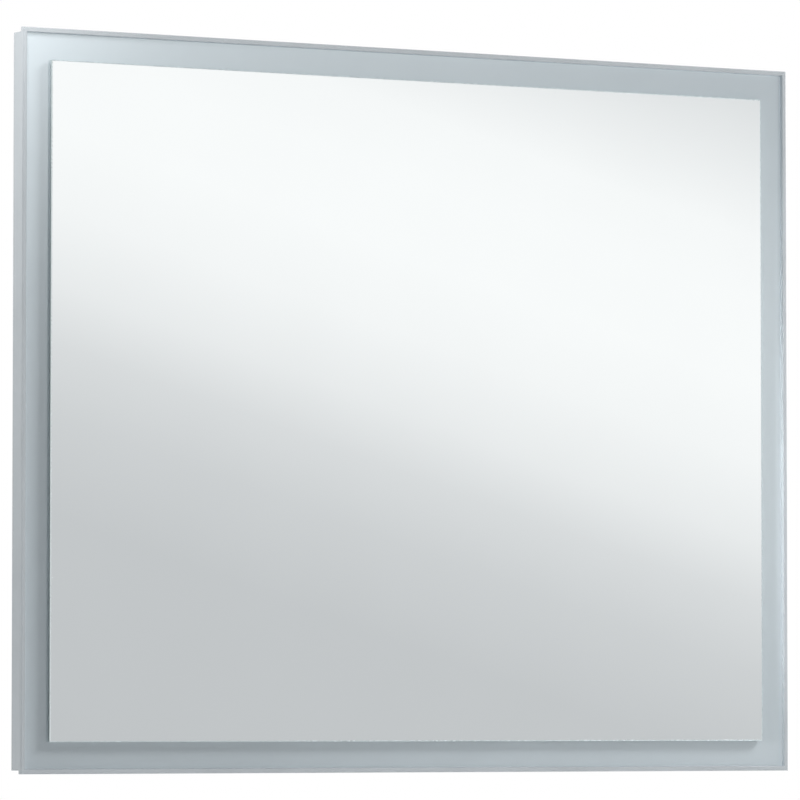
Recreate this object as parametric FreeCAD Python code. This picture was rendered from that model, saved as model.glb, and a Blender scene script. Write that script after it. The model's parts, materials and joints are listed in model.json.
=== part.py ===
import FreeCAD, Part
import math
import os
from FreeCAD import Vector

# Lighted bathroom mirror, wall hung. Millimetres.
# +X runs to the right as the user faces the glass, +Y into the wall and +Z up.
# The origin lies on the wall, midway between the four screw holes of the two wall brackets.
# A depth is measured from the front face towards the wall, and an inset inwards from the outer edge.

# Overall
WIDTH = 900.0
HEIGHT = 750.0
DEPTH = 30.0
TOP_ABOVE_ORIGIN = 110.0

# Extruded frame: a proud lip, a side wall set in behind it, and inner shelves
LIP_HEIGHT = 5.0
LIP_CHAMFER = 1.2
LIP_INNER_BREAK = 0.4
WALL_INSET = 3.5
WALL_THICKNESS = 1.3
WEB = 1.2
SHELF_REACH = 9.0
LEDGE_REACH = 14.0
LEDGE_THICKNESS = 1.5
HOOK = 1.5

# Corner keys that join the mitred bars
KEY_DEPTH = 12.0
KEY_WIDTH = 11.0
KEY_THICKNESS = 2.5
KEY_ARM = 34.0
KEY_CORNER_CUT = 2.0
KEY_PLAY = 0.15
KEY_SCREW_RADIUS = 2.0
KEY_SCREW_LENGTH = 4.5
KEY_SCREW_SOCKET = 1.0
KEY_SOCKET_DEPTH = 1.8
KEY_SCREW_REACH = 22.0

# Mirror pane, its film and its tape
BORDER = 32.0
MIRROR_THICKNESS = 4.0
MIRROR_ARRIS = 1.0
FILM_THICKNESS = 0.25
FILM_MARGIN = 2.0
TAPE_WIDTH = 20.0
TAPE_COUNT = 6
TAPE_MARGIN = 40.0

# Satin light border
DIFFUSER_THICKNESS = 3.0
DIFFUSER_PLAY = 0.2
DIFFUSER_OVERLAP = 8.0
DIFFUSER_CORNER = 5.0

# Folded chassis that carries the mirror and the light strips
SHEET = 1.0
CHASSIS_SET_BACK = 2.0
CHASSIS_FLANGE = 10.0
CHASSIS_CORNER = 6.0
CHASSIS_BEND = 1.0

# Rear panel
PANEL_RECESS = 2.0
PANEL_PLAY = 0.4
PANEL_CORNER = 4.0
BEAD_LENGTH_MARGIN = 130.0
BEAD_WIDTH = 16.0
BEAD_CORNER = 7.0
BEAD_HEIGHT = 1.8
BEAD_COUNT = 2
BEAD_FIRST = 60.0
BEAD_PITCH = 150.0
VENT_WIDTH = 3.0
VENT_LENGTH = 26.0
VENT_CORNER_CUT = 0.9
VENT_PITCH = 18.0
VENT_COUNT = 6
VENT_RISE = 52.0

# Wall brackets and the hangers that hook on them
FIXING_INSET = 100.0
FIXING_RISE = 24.0
FIXING_RADIUS = 2.75
BRACKET_WIDTH = 60.0
BRACKET_HEIGHT = 40.0
BRACKET_THICKNESS = 2.0
BRACKET_LIP = 12.0
BRACKET_BEND = 0.8
WALL_PLAY = 0.5
HOOK_PLAY = 0.4
HANGER_DROP = 10.0
HANGER_RISE = 24.0
LIFT = 13.0
POCKET_SIDE_PLAY = 9.0
POCKET_CORNER = 6.0
RIVET_RADIUS = 2.0
RIVET_HEAD_RADIUS = 3.6
RIVET_HEAD = 1.4
RIVET_SPACING = 36.0
RIVET_RISE = 14.0

# Panel and chassis screws, wall pads
SCREW_RADIUS = 1.5
SCREW_HEAD_RADIUS = 3.0
SCREW_HEAD = 1.6
SCREW_TIP = 4.0
SCREW_PLAY = 0.2
PANEL_SCREW_PITCH = 290.0
PANEL_SCREW_INSET = 13.0
CHASSIS_SCREW_PITCH = 380.0
PAD_RADIUS = 9.0
PAD_INSET = 85.0

# Light strips
STRIP_WIDTH = 10.0
STRIP_THICKNESS = 1.0
STRIP_END = 75.0
CHIP_LENGTH = 3.5
CHIP_WIDTH = 2.8
CHIP_HEIGHT = 0.8
CHIP_PITCH = 45.0

# Driver
ELECTRICS_RISE = 120.0
DRIVER_X = -120.0
DRIVER_LENGTH = 160.0
DRIVER_HEIGHT = 42.0
DRIVER_SPLIT = 9.0
DRIVER_COVER_RISE = 8.0
DRIVER_WALL = 1.5
DRIVER_CORNER = 4.0
DRIVER_EAR = 12.0
DRIVER_EAR_HEIGHT = 18.0
DRIVER_EAR_THICKNESS = 2.0
DRIVER_SCREW_RADIUS = 2.0
DRIVER_SCREW_HEAD_RADIUS = 3.6
DRIVER_SCREW_HEAD = 2.2
BOARD_THICKNESS = 1.6
BOARD_RISE = 3.5
BOARD_PLAY = 0.9
POST_WIDTH = 4.0
POST_INSET = 8.0
GROOVE_WIDTH = 1.5
GROOVE_DEPTH = 0.8
GROOVE_MARGIN = 8.0
GROOVE_PITCH = 12.0
GROOVE_COUNT = 9
DRIVER_POLE_PITCH = 8.0
DRIVER_TERMINAL_LENGTH = 10.0
DRIVER_TERMINAL_HEIGHT = 7.0
DRIVER_WELL_RADIUS = 1.4
DRIVER_WELL_DEPTH = 1.8
TERMINAL_PLAY = 0.3
CORE_LENGTH = 24.0
CORE_WIDTH = 24.0
CORE_HEIGHT = 9.0
CORE_LIMB = 4.0
COIL_SET_BACK = 2.0
CAPACITOR_RADIUS = 4.5
CAPACITOR_LENGTH = 16.0

# Mains terminal block, cable grommet and earth point
BLOCK_X = 60.0
BLOCK_WIDTH = 22.0
BLOCK_DEPTH = 14.0
BLOCK_POLE = 10.0
BLOCK_POLES = 3
BLOCK_STEP = 4.0
BLOCK_GROOVE = 1.0
BLOCK_GROOVE_DEPTH = 2.0
BLOCK_SCREW_RADIUS = 2.2
BLOCK_SCREW_HEIGHT = 3.0
BLOCK_SCREW_SLOT = 0.7
GROMMET_X = 130.0
GROMMET_BORE = 4.5
GROMMET_GROOVE = 8.0
GROMMET_FLANGE = 11.0
GROMMET_REAR = 1.5
GROMMET_FRONT = 2.0
EARTH_X = 20.0
EARTH_DROP = 44.0
STUD_RADIUS = 2.0
STUD_LENGTH = 9.0
RING_RADIUS = 4.2
RING_THICKNESS = 0.8
RING_BARREL = 8.0
BARREL_RADIUS = 1.7
NUT_HALF_WIDTH = 3.5
NUT_HEIGHT = 3.0

# Internal leads
LEAD_RADIUS = 1.3
LEAD_BEND = 9.0
EARTH_LEAD_BEND = 4.0
EARTH_LEAD_DROP = 11.0
RIBBON_WIDTH = 4.4
RIBBON_THICKNESS = 1.6
RIBBON_BEND = 12.0
RIBBON_EDGE_RUN = 20.0
FEED_BELOW_STRIP = 24.0
FEED_ON_BOARD = 6.0
FEED_TURN = 3.0
FEED_GROMMET_RADIUS = 5.0
FEED_GROMMET_FLANGE = 1.0
FEED_GROMMET_NECK = 4.0
FEED_BORE_PLAY = 0.5
CLIP_LENGTH = 10.0
CLIP_WIDTH = 6.0
CLIP_FOOT = 12.0
CLIP_PLAY = 0.2
CLIP_FLOOR = 1.2
CLIP_COUNT = 4
CLIP_MARGIN = 24.0

# Small screws, rivets, leads and their holes are drawn with this many flat sides
SMALL_SIDES = 8
HEXAGON = 6

# Two places closer than this are one
NEAR = 1e-6

# Worked out from the sizes above
CENTRE_Z = TOP_ABOVE_ORIGIN - HEIGHT / 2
FIXING_SPAN = WIDTH - 2 * FIXING_INSET
LIP_WIDTH = WALL_INSET + WALL_THICKNESS
SHELF_DEPTH = LIP_HEIGHT + DIFFUSER_THICKNESS + DIFFUSER_PLAY
PANEL_REAR = DEPTH - PANEL_RECESS
PANEL_FRONT = PANEL_REAR - SHEET
LEDGE_FRONT = PANEL_FRONT - LEDGE_THICKNESS
TAPE_FRONT = MIRROR_THICKNESS + FILM_THICKNESS
PLATEAU_FRONT = LIP_HEIGHT
PLATEAU_REAR = PLATEAU_FRONT + SHEET
CHASSIS_INSET = BORDER + CHASSIS_SET_BACK
PLATEAU_INSET = BORDER + DIFFUSER_OVERLAP + DIFFUSER_PLAY
FLANGE_INSET = CHASSIS_INSET - CHASSIS_FLANGE
STRIP_DEPTH = (SHELF_DEPTH + PANEL_FRONT) / 2
ELECTRICS_Z = CENTRE_Z + ELECTRICS_RISE
BRACKET_LIP_REAR = WALL_PLAY + BRACKET_THICKNESS + HOOK_PLAY
BRACKET_LIP_FRONT = BRACKET_LIP_REAR + BRACKET_THICKNESS
HANGER_REAR = BRACKET_LIP_FRONT + HOOK_PLAY
HANGER_FRONT = HANGER_REAR + BRACKET_THICKNESS
HOOK_Z = BRACKET_HEIGHT / 2 + BRACKET_LIP
BOARD_FRONT = PLATEAU_REAR + BOARD_RISE
BOARD_REAR = BOARD_FRONT + BOARD_THICKNESS
LEAD_DEPTH = BOARD_REAR + DRIVER_TERMINAL_HEIGHT / 2

# Sides and corners, each a quarter turn on from the one before
SIDES = ["top", "right", "bottom", "left"]
CORNERS = ["top_right", "bottom_right", "bottom_left", "top_left"]
QUARTER_TURN = 90


def y_at(depth):
    """The Y of a depth behind the front face."""
    return depth - DEPTH


def box(left, right, front, rear, low, high):
    """A block between two X values, two depths and two Z values."""
    corner = Vector(left, y_at(front), low)
    return Part.makeBox(right - left, rear - front, high - low, corner)


def rod(x, z, radius, front, rear):
    """A round bar along Y between two depths."""
    return Part.makeCylinder(radius, rear - front, Vector(x, y_at(front), z), Vector(0, 1, 0))


def regular(centre, axis, radius, sides):
    """The closed corners of a regular polygon round an axis that lies along X, Y or Z."""
    reach = Vector(axis.y, axis.z, axis.x) * radius
    corners = [centre + FreeCAD.Rotation(axis, step * 360 / sides).multVec(reach) for step in range(sides)]
    return corners + corners[:1]


def prism(foot, axis, radius, length, sides=SMALL_SIDES):
    """A bar with flat sides from its foot along an axis."""
    return Part.Face(Part.makePolygon(regular(foot, axis, radius, sides))).extrude(axis * length)


def peg(x, z, radius, front, rear, sides=SMALL_SIDES):
    """A small bar along Y between two depths."""
    return prism(Vector(x, y_at(front), z), Vector(0, 1, 0), radius, rear - front, sides)


def joined(shapes):
    """One solid from shapes that meet."""
    first, *others = shapes
    return first.fuse(others).removeSplitter() if others else first


def rounded(corners, closed=True):
    """A wire through the corners, each given as a point and the radius of its bend."""
    count = len(corners)
    edges = []
    ends = []
    for index, (point, radius) in enumerate(corners):
        inner = closed or 0 < index < count - 1
        if radius and inner:
            back = (corners[index - 1][0] - point).normalize()
            ahead = (corners[(index + 1) % count][0] - point).normalize()
            half = back.getAngle(ahead) / 2
            reach = radius / math.tan(half)
            centre = point + (back + ahead).normalize() * (radius / math.sin(half))
            start = point + back * reach
            end = point + ahead * reach
            middle = centre + (point - centre).normalize() * radius
            edges.append(Part.Arc(start, middle, end).toShape())
            ends.append((start, end))
        else:
            ends.append((point, point))
    spans = count if closed else count - 1
    for index in range(spans):
        start = ends[index][1]
        end = ends[(index + 1) % count][0]
        if start.distanceToPoint(end) > NEAR:
            edges.append(Part.makeLine(start, end))
    return Part.Wire(Part.__sortEdges__(edges))


def rectangle(width, height, radius, depth, x=0.0, z=CENTRE_Z):
    """A rounded rectangle that faces the user, centred at X and Z."""
    half_w = width / 2
    half_h = height / 2
    signs = [(-1, -1), (1, -1), (1, 1), (-1, 1)]
    corners = [(Vector(x + sx * half_w, y_at(depth), z + sz * half_h), radius) for sx, sz in signs]
    return rounded(corners)


def slab(width, height, cut, front, rear, x=0.0, z=CENTRE_Z):
    """A plate between two depths, with its corners cut off at this leg."""
    half_w = width / 2
    half_h = height / 2
    quarter = [(half_w, half_h - cut), (half_w - cut, half_h)] if cut else [(half_w, half_h)]
    half = quarter + [(-a, b) for a, b in reversed(quarter)]
    outline = half + [(-a, -b) for a, b in half]
    points = [Vector(x + a, y_at(front), z + b) for a, b in outline]
    return Part.Face(Part.makePolygon(points + points[:1])).extrude(Vector(0, rear - front, 0))


def inner_cut(cut, thickness):
    """The corner cut of a wall's inner face, for an even thickness round the corner."""
    return cut - thickness * (2 - math.sqrt(2))


def inset_slab(inset, cut, front, rear):
    """A plate whose edge lies at one inset from the outer edge all round."""
    return slab(WIDTH - 2 * inset, HEIGHT - 2 * inset, cut, front, rear)


def at_side(shape, side):
    """Moves a shape from the top side's frame, with Z = 0 on the outer edge, to its side."""
    distance = (WIDTH + HEIGHT - side_length(side)) / 2
    moved = shape.copy()
    moved.translate(Vector(0, 0, distance))
    moved.rotate(Vector(0, 0, 0), Vector(0, 1, 0), SIDES.index(side) * QUARTER_TURN)
    moved.translate(Vector(0, 0, CENTRE_Z))
    return moved


def side_length(side):
    """The outer length of a side."""
    return WIDTH if side in ("top", "bottom") else HEIGHT


def at_corner(shape, corner):
    """Moves a shape from the top right corner's frame, with that corner at X = Z = 0, to its corner."""
    sign_x = 1 if corner.endswith("right") else -1
    sign_z = 1 if corner.startswith("top") else -1
    moved = shape.copy()
    moved.rotate(Vector(0, 0, 0), Vector(0, 1, 0), CORNERS.index(corner) * QUARTER_TURN)
    moved.translate(Vector(sign_x * WIDTH / 2, 0, CENTRE_Z + sign_z * HEIGHT / 2))
    return moved


def evenly(length, pitch):
    """Places along a side, centred on it, as many as the pitch allows."""
    count = max(2, int(length / pitch) + 1)
    return [(index - (count - 1) / 2) * pitch for index in range(count)]


def screw(x, z, radius, head_radius, head, tip, seat):
    """A pan head screw driven towards the front."""
    return joined([peg(x, z, radius, seat - tip, seat), peg(x, z, head_radius, seat, seat + head)])


# ---------------------------------------------------------------- frame

def frame_section():
    """The extrusion's section, as insets and depths, from the lip's outer corner round."""
    inner = LIP_WIDTH
    shelf_end = inner + SHELF_REACH
    shelf_rear = SHELF_DEPTH + WEB
    slot_front = KEY_DEPTH - KEY_PLAY
    slot_rear = KEY_DEPTH + KEY_WIDTH + KEY_PLAY
    slot_floor = inner + KEY_THICKNESS + KEY_PLAY
    slot_outside = slot_floor + WEB
    ledge_end = inner + LEDGE_REACH
    points = [
        (0, LIP_CHAMFER),
        (LIP_CHAMFER, 0),
        (inner - LIP_INNER_BREAK, 0),
        (inner, LIP_INNER_BREAK),
        (inner, SHELF_DEPTH),
        (shelf_end, SHELF_DEPTH),
        (shelf_end, shelf_rear),
        (inner, shelf_rear),
        (inner, slot_front - WEB),
        (slot_outside, slot_front - WEB),
        (slot_outside, slot_front + HOOK),
        (slot_floor, slot_front + HOOK),
        (slot_floor, slot_front),
        (inner, slot_front),
        (inner, slot_rear),
        (slot_floor, slot_rear),
        (slot_floor, slot_rear - HOOK),
        (slot_outside, slot_rear - HOOK),
        (slot_outside, slot_rear + WEB),
        (inner, slot_rear + WEB),
        (inner, LEDGE_FRONT),
        (ledge_end, LEDGE_FRONT),
        (ledge_end, PANEL_FRONT),
        (inner, PANEL_FRONT),
        (inner, DEPTH),
        (WALL_INSET, DEPTH),
        (WALL_INSET, LIP_HEIGHT),
        (0, LIP_HEIGHT),
    ]
    return [Vector(0, y_at(depth), -inset) for inset, depth in points]


def frame_bar(side):
    """One mitred bar, with the holes for the panel screws in its ledge."""
    length = side_length(side)
    half = length / 2
    section = Part.makePolygon(frame_section() + frame_section()[:1])
    section.translate(Vector(-half, 0, 0))
    bar = Part.Face(section).extrude(Vector(length, 0, 0))
    reach = LIP_WIDTH + LEDGE_REACH + WALL_THICKNESS
    ends = [
        Vector(-half, y_at(0), 0),
        Vector(half, y_at(0), 0),
        Vector(half - reach, y_at(0), -reach),
        Vector(-half + reach, y_at(0), -reach),
    ]
    mitre = Part.Face(Part.makePolygon(ends + ends[:1])).extrude(Vector(0, DEPTH, 0))
    bar = bar.common(mitre)
    for x in panel_screw_places(length):
        bar = bar.cut(peg(x, -PANEL_SCREW_INSET, SCREW_RADIUS, LEDGE_FRONT, PANEL_FRONT))
    return at_side(bar, side)


def panel_screw_places(length):
    """Where the panel screws stand along a side."""
    return evenly(length - 2 * BORDER - PANEL_SCREW_PITCH / 2, PANEL_SCREW_PITCH)


def corner_key():
    """A cast key in the top right corner's frame, with a tapped hole in each arm."""
    outer = LIP_WIDTH + KEY_PLAY / 2
    inner = outer + KEY_THICKNESS
    far = outer + KEY_ARM
    y = y_at(KEY_DEPTH)
    cut = outer + KEY_CORNER_CUT
    outline = [
        Vector(-cut, y, -outer),
        Vector(-far, y, -outer),
        Vector(-far, y, -inner),
        Vector(-inner, y, -inner),
        Vector(-inner, y, -far),
        Vector(-outer, y, -far),
        Vector(-outer, y, -cut),
    ]
    key = Part.Face(Part.makePolygon(outline + outline[:1])).extrude(Vector(0, KEY_WIDTH, 0))
    holes = [prism(foot, axis, KEY_SCREW_RADIUS, KEY_SCREW_LENGTH) for foot, axis in key_screw_places()]
    return key.cut(holes)


def key_screw_places():
    """The foot and the direction of a key's two grub screws, in the top right corner's frame."""
    wall = LIP_WIDTH + KEY_PLAY / 2
    along = wall + KEY_SCREW_REACH
    y = y_at(KEY_DEPTH + KEY_WIDTH / 2)
    return [(Vector(-along, y, -wall), Vector(0, 0, -1)), (Vector(-wall, y, -along), Vector(-1, 0, 0))]


def grub_screw(foot, axis):
    """A headless screw that bears on the frame's wall, with a hexagon socket in its inner end."""
    body = prism(foot, axis, KEY_SCREW_RADIUS, KEY_SCREW_LENGTH)
    floor = foot + axis * (KEY_SCREW_LENGTH - KEY_SOCKET_DEPTH)
    return body.cut(prism(floor, axis, KEY_SCREW_SOCKET, KEY_SOCKET_DEPTH, HEXAGON))


# ---------------------------------------------------------------- front

def mirror_pane():
    """Silvered glass with a polished arris on its front and rear edges."""
    pane = inset_slab(BORDER, 0, 0, MIRROR_THICKNESS)
    faces = (y_at(0), y_at(MIRROR_THICKNESS))
    rims = [edge for edge in pane.Edges if any(flat_at(edge, y) for y in faces)]
    return pane.makeChamfer(MIRROR_ARRIS, rims)


def flat_at(edge, y):
    """True for an edge that lies whole at one Y."""
    bounds = edge.BoundBox
    return abs(bounds.YMin - y) < NEAR and abs(bounds.YMax - y) < NEAR


def mirror_film():
    """The film that holds the glass together if it breaks."""
    return inset_slab(BORDER + FILM_MARGIN, 0, MIRROR_THICKNESS, TAPE_FRONT)


def tape_strips():
    """Upright strips of foam tape between the film and the chassis."""
    span = WIDTH - 2 * (PLATEAU_INSET + TAPE_MARGIN) - TAPE_WIDTH
    pitch = span / (TAPE_COUNT - 1)
    half = HEIGHT / 2 - PLATEAU_INSET - TAPE_MARGIN
    strips = []
    for index in range(TAPE_COUNT):
        left = -span / 2 + index * pitch - TAPE_WIDTH / 2
        right = left + TAPE_WIDTH
        strips.append(box(left, right, TAPE_FRONT, PLATEAU_FRONT, CENTRE_Z - half, CENTRE_Z + half))
    return Part.makeCompound(strips)


def diffuser():
    """The satin border: one ring whose inner margin lies under the mirror."""
    front = LIP_HEIGHT
    rear = front + DIFFUSER_THICKNESS
    ring = inset_slab(LIP_WIDTH + DIFFUSER_PLAY, 0, front, rear)
    hole = inset_slab(BORDER + DIFFUSER_OVERLAP, DIFFUSER_CORNER, front, rear)
    return ring.cut(hole)


# ---------------------------------------------------------------- chassis

def chassis():
    """A folded tray: a raised plateau for the mirror, a step for the border, walls and a rear flange."""
    top = inset_slab(PLATEAU_INSET, CHASSIS_CORNER, PLATEAU_FRONT, PANEL_FRONT)
    body = inset_slab(CHASSIS_INSET, CHASSIS_CORNER + SHEET, SHELF_DEPTH, PANEL_FRONT)
    flange = inset_slab(FLANGE_INSET, CHASSIS_CORNER, PANEL_FRONT - SHEET, PANEL_FRONT)
    outside = joined([top, body, flange])
    plateau_rim = [edge for edge in outside.Edges if flat_at(edge, y_at(PLATEAU_FRONT))]
    step_edges = [edge for edge in outside.Edges if flat_at(edge, y_at(SHELF_DEPTH))]
    wall_rim = [edge for edge in step_edges if at_inset(edge, CHASSIS_INSET)]
    outside = outside.makeChamfer(CHASSIS_BEND, plateau_rim + wall_rim)
    upper_cut = inner_cut(CHASSIS_CORNER, SHEET)
    lower_cut = inner_cut(CHASSIS_CORNER + SHEET, SHEET)
    upper = inset_slab(PLATEAU_INSET + SHEET, upper_cut, PLATEAU_REAR, PANEL_FRONT)
    lower = inset_slab(CHASSIS_INSET + SHEET, lower_cut, SHELF_DEPTH + SHEET, PANEL_FRONT)
    tray = outside.cut(joined([upper, lower]))
    holes = [peg(x, z, SCREW_RADIUS, PANEL_FRONT - SHEET, PANEL_FRONT) for x, z in chassis_screw_places()]
    for x in driver_screw_places():
        holes.append(peg(x, ELECTRICS_Z, DRIVER_SCREW_RADIUS, PLATEAU_FRONT, PLATEAU_REAR))
    holes.append(feed_tube(FEED_GROMMET_NECK, 0, SHEET))
    return tray.cut(holes)


def at_inset(edge, inset):
    """True for an edge on the outline at this inset."""
    bounds = edge.BoundBox
    reach_x = max(abs(bounds.XMin), abs(bounds.XMax))
    reach_z = max(abs(bounds.ZMin - CENTRE_Z), abs(bounds.ZMax - CENTRE_Z))
    return abs(reach_x - (WIDTH / 2 - inset)) < NEAR or abs(reach_z - (HEIGHT / 2 - inset)) < NEAR


def chassis_screw_places():
    """Where the screws stand that hold the rear panel to the chassis flange."""
    inset = (FLANGE_INSET + CHASSIS_INSET) / 2
    half_w = WIDTH / 2 - inset
    half_h = HEIGHT / 2 - inset
    along = evenly(WIDTH - 2 * CHASSIS_INSET - CHASSIS_SCREW_PITCH / 2, CHASSIS_SCREW_PITCH)
    up = evenly(HEIGHT - 2 * CHASSIS_INSET - CHASSIS_SCREW_PITCH / 2, CHASSIS_SCREW_PITCH)
    places = [(x, CENTRE_Z + side * half_h) for x in along for side in (-1, 1)]
    places += [(side * half_w, CENTRE_Z + z) for z in up for side in (-1, 1)]
    return places


# ---------------------------------------------------------------- rear panel

def pressed(width, height, radius, depth, x, z):
    """A form pressed forwards out of the rear panel, as the metal to add and the hollow to cut."""
    rear_outer = rectangle(width + 2 * depth, height + 2 * depth, radius + depth, PANEL_FRONT, x, z)
    front_outer = rectangle(width, height, radius, PANEL_FRONT - depth, x, z)
    metal = Part.makeLoft([rear_outer, front_outer], True, True)
    rear_inner = rectangle(width + 2 * depth, height + 2 * depth, radius + depth, PANEL_REAR, x, z)
    front_inner = rectangle(width, height, radius, PANEL_REAR - depth, x, z)
    hollow = Part.makeLoft([rear_inner, front_inner], True, True)
    return metal, hollow


def pocket_frame():
    """The floor of a bracket pocket: its width, height and centre height."""
    low = -BRACKET_HEIGHT / 2 - LIFT
    high = HOOK_Z + HANGER_RISE + HOOK_PLAY
    return BRACKET_WIDTH + 2 * POCKET_SIDE_PLAY, high - low, (high + low) / 2


def rear_panel():
    """The rear cover, with two bracket pockets, stiffening beads, vents and holes."""
    panel = inset_slab(LIP_WIDTH + PANEL_PLAY, PANEL_CORNER, PANEL_FRONT, PANEL_REAR)
    pocket_depth = HANGER_FRONT - PANEL_RECESS
    width, height, centre = pocket_frame()
    forms = [pressed(width, height, POCKET_CORNER, pocket_depth, x, centre) for x in bracket_places()]
    bead_length = WIDTH - 2 * BEAD_LENGTH_MARGIN
    for index in range(BEAD_COUNT):
        z = CENTRE_Z - BEAD_FIRST - index * BEAD_PITCH
        forms.append(pressed(bead_length, BEAD_WIDTH, BEAD_CORNER, BEAD_HEIGHT, 0, z))
    panel = panel.fuse([metal for metal, _ in forms]).cut([hollow for _, hollow in forms])
    holes = [rod(GROMMET_X, ELECTRICS_Z, GROMMET_GROOVE, PANEL_FRONT, PANEL_REAR)]
    holes += vent_slots()
    radius = SCREW_RADIUS + SCREW_PLAY
    holes += [peg(x, z, radius, PANEL_FRONT, PANEL_REAR) for x, z in chassis_screw_places()]
    for side in SIDES:
        for x in panel_screw_places(side_length(side)):
            holes.append(at_side(peg(x, -PANEL_SCREW_INSET, radius, PANEL_FRONT, PANEL_REAR), side))
    floor = DEPTH - HANGER_FRONT
    holes += [peg(x, z, RIVET_RADIUS, floor - SHEET, floor) for x, z in rivet_places()]
    return panel.cut(holes).removeSplitter()


def vent_slots():
    """Two rows of upright slots, above and below the driver."""
    slots = []
    for index in range(VENT_COUNT):
        x = DRIVER_X + (index - (VENT_COUNT - 1) / 2) * VENT_PITCH
        for z in (ELECTRICS_Z - VENT_RISE, ELECTRICS_Z + VENT_RISE):
            slots.append(slab(VENT_WIDTH, VENT_LENGTH, VENT_CORNER_CUT, PANEL_FRONT, PANEL_REAR, x, z))
    return slots


def panel_screws():
    """The screws that hold the rear panel to the frame's ledge."""
    screws = []
    for side in SIDES:
        for x in panel_screw_places(side_length(side)):
            screws.append(at_side(cover_screw(x, -PANEL_SCREW_INSET), side))
    return Part.makeCompound(screws)


def chassis_screws():
    """The screws that hold the rear panel to the chassis."""
    return Part.makeCompound([cover_screw(x, z) for x, z in chassis_screw_places()])


def cover_screw(x, z):
    """A screw with its head on the rear panel."""
    return screw(x, z, SCREW_RADIUS, SCREW_HEAD_RADIUS, SCREW_HEAD, SCREW_TIP, PANEL_REAR)


def wall_pads():
    """Rubber pads near the lower corners that keep the mirror upright."""
    z = CENTRE_Z - HEIGHT / 2 + PAD_INSET
    pads = [rod(side * (WIDTH / 2 - PAD_INSET), z, PAD_RADIUS, PANEL_REAR, DEPTH) for side in (-1, 1)]
    return Part.makeCompound(pads)


# ---------------------------------------------------------------- hanging hardware

def bracket_places():
    """The X of the two wall brackets."""
    return [-FIXING_SPAN / 2, FIXING_SPAN / 2]


def bent_plate(outline, x):
    """A folded plate of the bracket's width, from its section as distances from the wall and heights."""
    left = x - BRACKET_WIDTH / 2
    corners = [(Vector(left, -distance, z), radius) for distance, z, radius in outline]
    return Part.Face(rounded(corners)).extrude(Vector(BRACKET_WIDTH, 0, 0))


def wall_bracket(x):
    """The plate screwed to the wall, with an upstanding lip that stands off from the wall."""
    foot = -BRACKET_HEIGHT / 2
    step = BRACKET_HEIGHT / 2
    outline = [
        (0, foot, 0),
        (0, step, BRACKET_BEND + BRACKET_THICKNESS / 2),
        (BRACKET_LIP_REAR, step, BRACKET_BEND / 2),
        (BRACKET_LIP_REAR, HOOK_Z, 0),
        (BRACKET_LIP_FRONT, HOOK_Z, 0),
        (BRACKET_LIP_FRONT, step - BRACKET_THICKNESS, BRACKET_BEND + BRACKET_THICKNESS / 2),
        (BRACKET_THICKNESS, step - BRACKET_THICKNESS, BRACKET_BEND / 2),
        (BRACKET_THICKNESS, foot, 0),
    ]
    plate = bent_plate(outline, x)
    for side in (-1, 1):
        plate = plate.cut(rod(x, side * FIXING_RISE / 2, FIXING_RADIUS, DEPTH - BRACKET_THICKNESS, DEPTH))
    return plate


def hanger(x):
    """The plate riveted in the panel's pocket, whose lip drops behind the wall bracket's."""
    high = HOOK_Z + HANGER_RISE
    lip_front = WALL_PLAY + BRACKET_THICKNESS
    outline = [
        (HANGER_FRONT, high, 0),
        (HANGER_FRONT, HOOK_Z, BRACKET_BEND + BRACKET_THICKNESS / 2),
        (lip_front, HOOK_Z, BRACKET_BEND / 2),
        (lip_front, HOOK_Z - HANGER_DROP, 0),
        (WALL_PLAY, HOOK_Z - HANGER_DROP, 0),
        (WALL_PLAY, HOOK_Z + BRACKET_THICKNESS, BRACKET_BEND + BRACKET_THICKNESS / 2),
        (HANGER_REAR, HOOK_Z + BRACKET_THICKNESS, BRACKET_BEND / 2),
        (HANGER_REAR, high, 0),
    ]
    plate = bent_plate(outline, x)
    front = DEPTH - HANGER_FRONT
    rear = DEPTH - HANGER_REAR
    return plate.cut([peg(hole_x, z, RIVET_RADIUS, front, rear) for hole_x, z in rivet_places()])


def rivet_places():
    """Two rivets in each hanger."""
    z = HOOK_Z + RIVET_RISE
    return [(x + step * RIVET_SPACING / 2, z) for x in bracket_places() for step in (-1, 1)]


def hanger_rivets():
    """Rivets through the hangers and the pocket floors."""
    rear = DEPTH - HANGER_REAR
    front = DEPTH - HANGER_FRONT - SHEET
    rivets = []
    for x, z in rivet_places():
        shank = peg(x, z, RIVET_RADIUS, front, rear)
        rear_head = peg(x, z, RIVET_HEAD_RADIUS, rear, rear + RIVET_HEAD)
        front_head = peg(x, z, RIVET_HEAD_RADIUS, front - RIVET_HEAD, front)
        rivets.append(joined([shank, rear_head, front_head]))
    return Part.makeCompound(rivets)


# ---------------------------------------------------------------- light strips

def strip_board(side):
    """The circuit board of one light strip, bonded to the chassis wall and facing the frame."""
    half = side_length(side) / 2 - STRIP_END
    front = STRIP_DEPTH - STRIP_WIDTH / 2
    foot = -CHASSIS_INSET
    board = box(-half, half, front, front + STRIP_WIDTH, foot, foot + STRIP_THICKNESS)
    return at_side(board, side)


def strip_chips(side):
    """The light-emitting chips of one strip."""
    length = side_length(side) - 2 * STRIP_END - CHIP_PITCH
    front = STRIP_DEPTH - CHIP_WIDTH / 2
    foot = -CHASSIS_INSET + STRIP_THICKNESS
    half = CHIP_LENGTH / 2
    chips = []
    for x in evenly(length, CHIP_PITCH):
        chip = box(x - half, x + half, front, front + CHIP_WIDTH, foot, foot + CHIP_HEIGHT)
        chips.append(at_side(chip, side))
    return Part.makeCompound(chips)


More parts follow.
